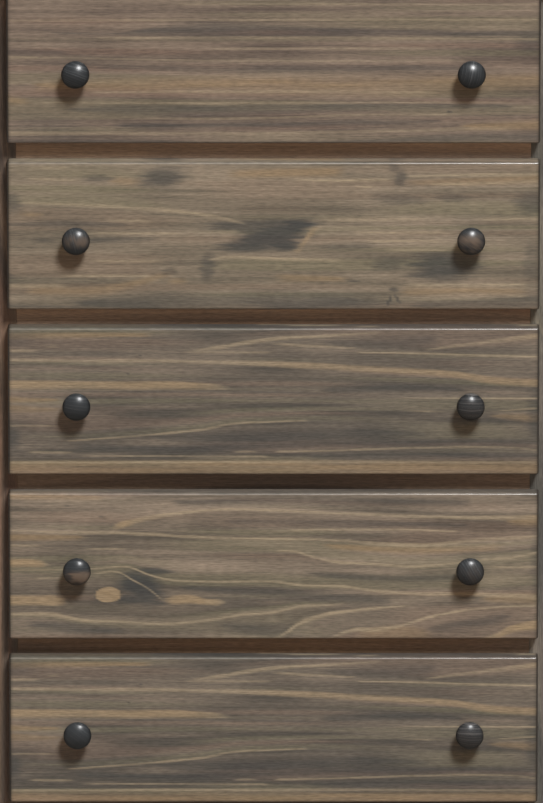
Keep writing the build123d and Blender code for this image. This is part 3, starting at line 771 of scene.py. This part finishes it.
# Top
low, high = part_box("top_panel")
points, quads = eased_board(low, high, TOP_CELLS, TOP_EDGE, [BACKWARD, BELOW])
top_width = (high.y - low.y) / MM / PANEL_BOARDS
add_pine("top_board", points, quads, TOP_AXES, (0, low.y, high.z),
         lambda along, across, into: glued_figure(along, across, top_width, PANEL_SAWN, 700),
         70, front_pine, "case", "top_panel")

# Sides, cut out below so that they stand on two feet
FOOT_LENGTH = 70.0 * MM  # the front foot with the stile before it, and the rear foot
FOOT_GAP_TOP = 45.0 * MM  # above the floor
FOOT_CORNER = 25.0 * MM
RABBET = 10.0 * MM  # how far the back panel is let into the side
RABBET_DEPTH = 8.0 * MM
STEP = 0.3 * MM  # run of a cut that is square in the wood
# How finely a side is divided
FRONT_COLUMNS, GAP_COLUMNS, REAR_COLUMNS, RABBET_COLUMNS = 36, 150, 40, 5
FOOT_ROWS, CORNER_STEPS, LOW_ROWS, PANEL_ROWS, LAYERS = 7, 20, 8, 125, 6


def arc(centre, radius, start, turn, count=14):
    """Points of an arc; angles in degrees."""
    angle = np.radians(np.linspace(start, start + turn, count))
    return np.stack([centre[0] + radius * np.cos(angle), centre[1] + radius * np.sin(angle)], axis=1)


def side_board(low, high, front):
    """A side panel: columns start on the outline of the two feet and run up to the top edge, where
    those of the gap are spread evenly. The inner face steps out behind the rabbet for the back."""
    gap_front, gap_back = front + FOOT_LENGTH, high.y - FOOT_LENGTH
    arch_front, arch_back = gap_front + FOOT_CORNER, gap_back - FOOT_CORNER
    arch = FOOT_GAP_TOP - FOOT_CORNER
    gap = np.concatenate([
        np.linspace((gap_front, low.z), (gap_front, arch), FOOT_ROWS),
        arc((arch_front, arch), FOOT_CORNER, 180, -90, CORNER_STEPS)[1:],
        np.linspace((arch_front, FOOT_GAP_TOP), (arch_back, FOOT_GAP_TOP), GAP_COLUMNS)[1:],
        arc((arch_back, arch), FOOT_CORNER, 90, -90, CORNER_STEPS)[1:],
        np.linspace((gap_back, arch), (gap_back, low.z), FOOT_ROWS)[1:],
    ])
    cut = high.y - RABBET_DEPTH
    before = np.linspace(low.y, gap_front, FRONT_COLUMNS)[:-1]
    rear_foot = np.linspace(gap_back, cut, REAR_COLUMNS)[1:]
    behind = np.concatenate([rear_foot, np.linspace(cut + STEP, high.y, RABBET_COLUMNS)])
    foot = np.concatenate([before, gap[:, 0], behind])
    sole = np.concatenate([np.full_like(before, low.z), gap[:, 1], np.full_like(behind, low.z)])
    edge = np.concatenate([before, np.linspace(gap_front, gap_back, len(gap)), behind])
    height = high.z - low.z
    gap_rise = (FOOT_GAP_TOP - low.z) / height
    low_rise = np.linspace(0, gap_rise, LOW_ROWS)
    rise = np.concatenate([low_rise, np.linspace(gap_rise + STEP / height, 1, PANEL_ROWS)])
    lattice, quads = skin([np.linspace(0, 1, LAYERS), np.arange(len(foot)), rise])
    share, column, rise = lattice[:, 0], lattice[:, 1].astype(int), lattice[:, 2]
    y = foot[column] + (edge - foot)[column] * rise
    z = sole[column] + (high.z - sole[column]) * rise
    inner = RABBET * ((y > cut + STEP / 2) & (z > FOOT_GAP_TOP + STEP / 2))
    return inner + share * (high.x - low.x - inner), y, z, quads


stile_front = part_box("left_stile")[0].y
for seed, (hand, side) in enumerate((("left", -1), ("right", 1)), 80):
    low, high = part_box(f"{hand}_side_panel")
    out, y, z, quads = side_board(low, high, stile_front)
    inside, outside = (low.x, high.x) if side > 0 else (high.x, low.x)
    points = np.stack([inside + side * out, y, z], axis=1)
    side_width = (high.y - low.y) / MM / PANEL_BOARDS
    add_pine(f"{hand}_side_board", points, quads[:, ::side], SIDE_AXES, (outside, low.y, 0),
             lambda along, across, into: glued_figure(along, across, side_width, PANEL_SAWN, 10 * seed),
             seed, front_pine, "case", f"{hand}_side_panel")

# Knobs
KNOB_NECK = 8.5 * MM
KNOB_COVE = 3.0 * MM
KNOB_FOOT = 2.0 * MM
KNOB_SHOULDER = 7.0 * MM
KNOB_STEPS = 112
KNOB_RING = 2.4  # millimetres between ring lines
PORE = 1.6 * MM  # coarser than in real wood, where the pores would not show
ALL_OVER = (0, 30)  # a brown part as high as the knob
# From the top drawer down: turn of the grain in degrees, strength of its lines, share of brown, and the
# middle and half height of the brown part, in millimetres above the knob's middle
KNOB_LOOKS = {
    "left": ((20, .95, 0, ALL_OVER), (75, .8, .9, (2, 6)), (8, .6, 0, ALL_OVER), (0, .8, 1.8, (-7, 8)),
             (40, .55, 0, ALL_OVER)),
    "right": ((100, .9, 0, ALL_OVER), (35, .8, 1.1, (-2, 11)), (2, 1.6, .1, ALL_OVER),
              (60, .9, .2, ALL_OVER), (5, 1.5, .1, ALL_OVER)),
}


def knob_profile(radius, projection):
    """Foot, cove, neck, rounded underside, shoulder and a crown that runs into it without a break."""
    under = radius - KNOB_NECK
    rim = radius  # the widest place is as far from the front as the knob's radius
    foot = KNOB_NECK + KNOB_COVE
    shoulder_x = radius - KNOB_SHOULDER
    height = projection - rim
    crown = (shoulder_x ** 2 + height ** 2 - KNOB_SHOULDER ** 2) / (2 * (height - KNOB_SHOULDER))
    meeting = math.degrees(math.atan2(rim - projection + crown, shoulder_x))
    return np.concatenate([
        [(0, 0), (foot, 0), (foot, KNOB_FOOT)],
        arc((foot, KNOB_FOOT + KNOB_COVE), KNOB_COVE, 270, -90)[1:],
        arc((KNOB_NECK, rim), under, 270, 90),
        arc((shoulder_x, rim), KNOB_SHOULDER, 0, meeting)[1:],
        arc((0, projection - crown), crown, meeting, 90 - meeting, 26)[1:],
    ])


def turned_wood():
    """Hardwood turned to a knob, stained near black and lacquered: the tool leaves it smooth, the
    stain lets a little of the grain through, and the lacquer mirrors the lamp as a small soft spot."""
    material, tree = new_material("hardwood_turned_black_stain_gloss_lacquer")
    tone = add(tree, "ShaderNodeAttribute", attribute_name="tone").outputs["Fac"]
    brown = add(tree, "ShaderNodeAttribute", attribute_name="red").outputs["Fac"]
    black = {0: tone, 6: linear("0f1215"), 7: linear("525558")}
    colour = add(tree, "ShaderNodeMix", black, data_type="RGBA").outputs[2]
    colour = add(tree, "ShaderNodeMix", {0: brown, 6: colour, 7: linear("62554a")}, data_type="RGBA")
    place = add(tree, "ShaderNodeTexCoord").outputs["Object"]
    pores = add(tree, "ShaderNodeTexNoise", {"Vector": place, "Scale": 1 / PORE, "Detail": 2.0})
    pores = pores.outputs["Fac"]
    bump = add(tree, "ShaderNodeBump", {"Height": pores, "Strength": 0.12, "Distance": 0.1 * MM})
    rough = add(tree, "ShaderNodeMapRange", {"Value": pores, "To Min": 0.34, "To Max": 0.46})
    shader = add(tree, "ShaderNodeBsdfPrincipled", {
        "Base Color": colour.outputs[2], "Roughness": rough.outputs[0], "Normal": bump.outputs[0],
        "Specular IOR Level": 0.12, "Coat Weight": 0.082, "Coat Roughness": 0.27, "Coat IOR": 2.0})
    add(tree, "ShaderNodeOutputMaterial", {"Surface": shader.outputs[0]})
    return material


def knob_figure(points, crown, turn, grain, brown_share, brown_part, seed):
    """Shares of each tint on a knob: ring lines that bend a little, and a brown mottle in its part. The
    crown and upper side are painted lighter, as painted light, and the rim and underside darker, as painted
    shade."""
    sine, cosine = math.sin(math.radians(turn)), math.cos(math.radians(turn))
    across = (points[:, 0] * sine + points[:, 2] * cosine) / MM
    along = (points[:, 0] * cosine - points[:, 2] * sine) / MM
    height = points[:, 2] / MM
    bent = across + 0.004 * along ** 2 + (grain_noise(along, across, (14, 9), seed) - 0.5) * 2
    lines = growth_rings(bent + 30, along, KNOB_RING, seed + 1)
    fine_mottle = grain_noise(along, across, (8, 2.2), seed + 3)
    mottle = 0.5 * fine_mottle + 0.5 * grain_noise(along, across, (14, 9), seed + 4)
    middle, half = brown_part
    brown = brown_share * ramp(mottle, 0, 1) * (1 - ramp(abs(height - middle), half - 5, half + 6))
    # Painted light on the crown and upper side, painted shade round the rim
    painted_crown_light_rim_shade = ramp(crown + 0.7 * ramp(height, 4, 14), 0, 0.9)
    # Painted shade below the knob's middle
    painted_shade_below = 1 - 0.6 * ramp(-height, -3, 12)
    tone = (0.26 - 0.1 * grain + grain * lines) * (0.1 + 0.9 * painted_crown_light_rim_shade) * painted_shade_below
    red = brown * crown + 0.9 * max(0, grain - 1) * lines
    return {"tone": np.clip(tone, 0, 1), "red": np.clip(red, 0, 1)}


knob_wood = turned_wood()
for drawer in drawers:
    for hand, looks in KNOB_LOOKS.items():
        node = f"drawer_{drawer}_{hand}_knob"
        low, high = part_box(node)
        radius, projection = (high.x - low.x) / 2, high.y - low.y
        points, quads, fans = turned(knob_profile(radius, projection), KNOB_STEPS)
        crown = ramp(points[:, 1], radius, projection)
        seed = 800 + 20 * drawer + len(hand)  # one of its own for each knob
        shares = knob_figure(points, crown, *looks[drawer - 1], seed)
        points = points * (1, -1, 1) + ((low.x + high.x) / 2, high.y, (low.z + high.z) / 2)
        add_piece(f"{node}_turned", points, [quads, fans], f"drawer_{drawer}", knob_wood,
                  [node], shares)


# Materials of the pieces that keep their plain shape, and whose patterns follow the object's own metres
KNOT_SPACING = 160.0 * MM
ZINC_PATCH = 1.5 * MM
MOULD_GRIT = 0.8 * MM  # coarser than the real grit, which would not show


def end_bare_wood(tree, colour, place, fibre_size, darkest, fibre_depth, roughness):
    """Ends a material of unstained wood: its fibres shade the colour and roughen the surface."""
    fibre = grain_pattern(tree, place, fibre_size, 2.0)
    spread = {"Value": fibre, "From Min": 0.3, "From Max": 0.7, "To Min": darkest, "To Max": 1.08}
    shade = add(tree, "ShaderNodeMapRange", spread).outputs[0]
    colour = add(tree, "ShaderNodeVectorMath", {0: colour, "Scale": shade}, operation="SCALE").outputs[0]
    bump = add(tree, "ShaderNodeBump", {"Height": fibre, "Strength": 0.3, "Distance": fibre_depth})
    wood = {"Base Color": colour, "Roughness": roughness, "Normal": bump.outputs[0]}
    shader = add(tree, "ShaderNodeBsdfPrincipled", wood)
    add(tree, "ShaderNodeOutputMaterial", {"Surface": shader.outputs[0]})


def bare_pine(name, grain_axis):
    """Planed pine without stain, sealed: pale yellow early wood, amber late-wood lines along the
    grain, a few brown pin knots, and a dull sheen."""
    material, tree = new_material(name)
    place = add(tree, "ShaderNodeTexCoord").outputs["Object"]
    grain = np.arange(3) == grain_axis
    rings = grain_pattern(tree, place, np.where(grain, 500, 8), 3.0, 0.4)
    late = add(tree, "ShaderNodeMapRange", {"Value": rings, "From Min": 0.47, "From Max": 0.66})
    wood = {0: late.outputs[0], 6: linear("dcc197"), 7: linear("b98f58")}
    colour = add(tree, "ShaderNodeMix", wood, data_type="RGBA").outputs[2]
    knots = add(tree, "ShaderNodeTexVoronoi", {"Vector": place, "Scale": 1 / KNOT_SPACING})
    reach = {"Value": knots.outputs["Distance"], "From Min": 0.055, "From Max": 0.03}
    knot = add(tree, "ShaderNodeMapRange", reach).outputs[0]
    knotty = {0: knot, 6: colour, 7: linear("74492a")}
    colour = add(tree, "ShaderNodeMix", knotty, data_type="RGBA").outputs[2]
    end_bare_wood(tree, colour, place, np.where(grain, 50, 1.6), 0.9, 0.15 * MM, 0.55)
    return material


def plywood(name, grain_axis):
    """Rotary-cut plywood, sanded: the knife runs round the log, so the rings open into wide wavy
    bands; open fibres leave it dull."""
    material, tree = new_material(name)
    place = add(tree, "ShaderNodeTexCoord").outputs["Object"]
    grain = np.arange(3) == grain_axis
    lie = grain_pattern(tree, place, np.where(grain, 800, 110), 2.0)
    depth = add(tree, "ShaderNodeMath", {0: lie, 1: 14.0}, operation="MULTIPLY").outputs[0]
    rings = add(tree, "ShaderNodeMath", {0: depth, 1: 0.5}, operation="PINGPONG").outputs[0]
    late = add(tree, "ShaderNodeMapRange", {"Value": rings, "From Min": 0.15, "From Max": 0.5})
    wood = {0: late.outputs[0], 6: linear("c9ab82"), 7: linear("ae8a5f")}
    colour = add(tree, "ShaderNodeMix", wood, data_type="RGBA").outputs[2]
    end_bare_wood(tree, colour, place, np.where(grain, 30, 1.8), 0.88, 0.12 * MM, 0.68)
    return material


def zinc_steel():
    """Steel screws in bright zinc plate: a cool grey metal whose plating leaves the gloss patchy."""
    material, tree = new_material("steel_bright_zinc_plated")
    place = add(tree, "ShaderNodeTexCoord").outputs["Object"]
    patches = add(tree, "ShaderNodeTexNoise", {"Vector": place, "Scale": 1 / ZINC_PATCH, "Detail": 2.0})
    patches = patches.outputs["Fac"]
    rough = add(tree, "ShaderNodeMapRange", {"Value": patches, "To Min": 0.22, "To Max": 0.45}).outputs[0]
    zinc = {0: patches, 6: linear("a9aaa8"), 7: linear("c6c7c4")}
    colour = add(tree, "ShaderNodeMix", zinc, data_type="RGBA").outputs[2]
    plate = {"Base Color": colour, "Metallic": 1.0, "Roughness": rough}
    shader = add(tree, "ShaderNodeBsdfPrincipled", plate)
    add(tree, "ShaderNodeOutputMaterial", {"Surface": shader.outputs[0]})
    return material


def moulded_nylon():
    """Brown nylon, moulded: an even colour with the fine dull texture of the mould."""
    material, tree = new_material("nylon_moulded_brown")
    place = add(tree, "ShaderNodeTexCoord").outputs["Object"]
    mould = add(tree, "ShaderNodeTexNoise", {"Vector": place, "Scale": 1 / MOULD_GRIT, "Detail": 1.0})
    mould = mould.outputs["Fac"]
    brown = {0: mould, 6: linear("352c26"), 7: linear("453a32")}
    colour = add(tree, "ShaderNodeMix", brown, data_type="RGBA").outputs[2]
    bump = add(tree, "ShaderNodeBump", {"Height": mould, "Strength": 0.2, "Distance": 0.1 * MM}).outputs[0]
    nylon = {"Base Color": colour, "Roughness": 0.5, "Normal": bump}
    shader = add(tree, "ShaderNodeBsdfPrincipled", nylon)
    add(tree, "ShaderNodeOutputMaterial", {"Surface": shader.outputs[0]})
    return material


pine_lengthwise = bare_pine("pine_planed_sealed_grain_front_to_back", 1)
pine_crosswise = bare_pine("pine_planed_sealed_grain_side_to_side", 0)
bottom_ply = plywood("plywood_rotary_cut_sanded_bottoms", 0)
back_ply = plywood("plywood_rotary_cut_sanded_back", 2)
steel = zinc_steel()
plain_pieces = {
    "back_panel": back_ply, "rear_top_rail": pine_crosswise, "rear_bottom_rail": pine_crosswise,
    "left_runners": pine_lengthwise, "right_runners": pine_lengthwise, "top_kickers": pine_lengthwise,
    "drawer_stops": pine_crosswise, "floor_glides": moulded_nylon(), "case_screws": steel,
}
box_pieces = {"left_side": pine_lengthwise, "right_side": pine_lengthwise, "back": pine_crosswise,
              "bottom": bottom_ply, "knob_screws": steel}
for drawer in drawers:
    for piece, material in box_pieces.items():
        plain_pieces[f"drawer_{drawer}_{piece}"] = material
for node, material in plain_pieces.items():
    mesh = frame["nodes"][node].data
    mesh.materials.clear()
    mesh.materials.append(material)


# Stage and lamps
def seen_and_cast(tree, seen_colour, cast_colour):
    """Colour of the stage: one where it is looked at, straight or mirrored, and one for the light
    that it casts on the object."""
    path = add(tree, "ShaderNodeLightPath")
    looks = path.outputs["Is Camera Ray"]
    for ray in ("Is Glossy Ray", "Is Transmission Ray"):
        looks = add(tree, "ShaderNodeMath", {0: looks, 1: path.outputs[ray]}, operation="MAXIMUM").outputs[0]
    colours = {0: looks, 6: linear(cast_colour), 7: linear(seen_colour)}
    return add(tree, "ShaderNodeMix", colours, data_type="RGBA").outputs[2]


FLOOR_REACH = 80.0
mesh = bpy.data.meshes.new("floor")
corners = [(-1, -1), (1, -1), (1, 1), (-1, 1)]
mesh.from_pydata([(x * FLOOR_REACH, y * FLOOR_REACH, 0) for x, y in corners], [], [range(4)])
material, tree = new_material("floor_matt_pale")
shader = add(tree, "ShaderNodeBsdfDiffuse", {"Color": seen_and_cast(tree, "bdbab5", "8f7760")})
add(tree, "ShaderNodeOutputMaterial", {"Surface": shader.outputs[0]})
mesh.materials.append(material)
floor = bpy.data.objects.new("floor", mesh)
bpy.context.scene.collection.objects.link(floor)
floor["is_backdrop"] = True

world = bpy.data.worlds.new("room")
bpy.context.scene.world = world
world.use_nodes = True
tree = world.node_tree
tree.nodes.clear()
background = add(tree, "ShaderNodeBackground", {"Color": seen_and_cast(tree, "c9c8c5", "3f3c39")})
add(tree, "ShaderNodeOutputWorld", {"Surface": background.outputs[0]})


def stand(name, data, place, target):
    """Puts a lamp or the camera at a place, looking at the target with its top side up."""
    thing = bpy.data.objects.new(name, data)
    thing.location = place
    thing.rotation_euler = (Vector(target) - Vector(place)).to_track_quat("-Z", "Y").to_euler()
    bpy.context.scene.collection.objects.link(thing)
    return thing


def towards(elevation, turn):
    """Unit vector at an elevation, turned from straight ahead of the fronts to the right."""
    level = math.cos(elevation)
    return np.array([level * math.sin(turn), -level * math.cos(turn), math.sin(elevation)])


def add_lamp(kind, name, place, target, unseen_by, **settings):
    """A lamp that looks at the target and isn't seen by some kinds of ray."""
    lamp = bpy.data.lights.new(name, kind)
    for setting, value in settings.items():
        setattr(lamp, setting, value)
    thing = stand(name, lamp, place, target)
    for ray in unseen_by:
        setattr(thing, f"visible_{ray}", False)


third_low, third_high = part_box("drawer_3_front")
face_middle = np.array([0, third_low.y, (third_low.z + third_high.z) / 2])
SUN_DISTANCE = 5.0

# Key lamp: high in front and a little to the right, far enough off to light all five fronts alike
key_place = face_middle + SUN_DISTANCE * towards(math.radians(51), math.radians(22))
add_lamp("SUN", "key", key_place, face_middle, ["glossy"], energy=4.32, angle=math.radians(14))

# Fill lamp: warm and wide, low in front, so that the gaps between the fronts stay open
fill_place = face_middle + SUN_DISTANCE * towards(math.radians(8), math.radians(-10))
add_lamp("SUN", "fill", fill_place, face_middle, ["glossy"], energy=0.42, angle=math.radians(50),
         color=linear("ffe6d0")[:3])

# Glint lamp: nearer, and only mirrored, so that it leaves spots on the knobs and a line on the arrises
add_lamp("AREA", "glint", (0.52, -1.56, 2.4), face_middle, ["diffuse", "camera"], energy=130, size=0.55)

# Rear lamp: soft, behind and to the left, for the back and the side that the key doesn't reach
add_lamp("AREA", "rear", (-2.2, 2.8, 1.9), (0, 0, 0.6), ["camera", "glossy"], energy=60, size=2.0)

# Camera
camera = bpy.data.cameras.new("camera")
camera.sensor_width = SENSOR
camera.lens = SENSOR * VIEW_DISTANCE / (PHOTO_HEIGHT * PIXEL)
camera.clip_end = 10 * VIEW_DISTANCE
target = face_middle + (MIDDLE_OFFSET[0] * PIXEL, 0, MIDDLE_OFFSET[1] * PIXEL / math.cos(VIEW_ELEVATION))
camera_place = target + VIEW_DISTANCE * towards(VIEW_ELEVATION, 0)
bpy.context.scene.camera = stand("camera", camera, camera_place, target)
bpy.context.scene.view_settings.view_transform = "Standard"

low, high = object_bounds()
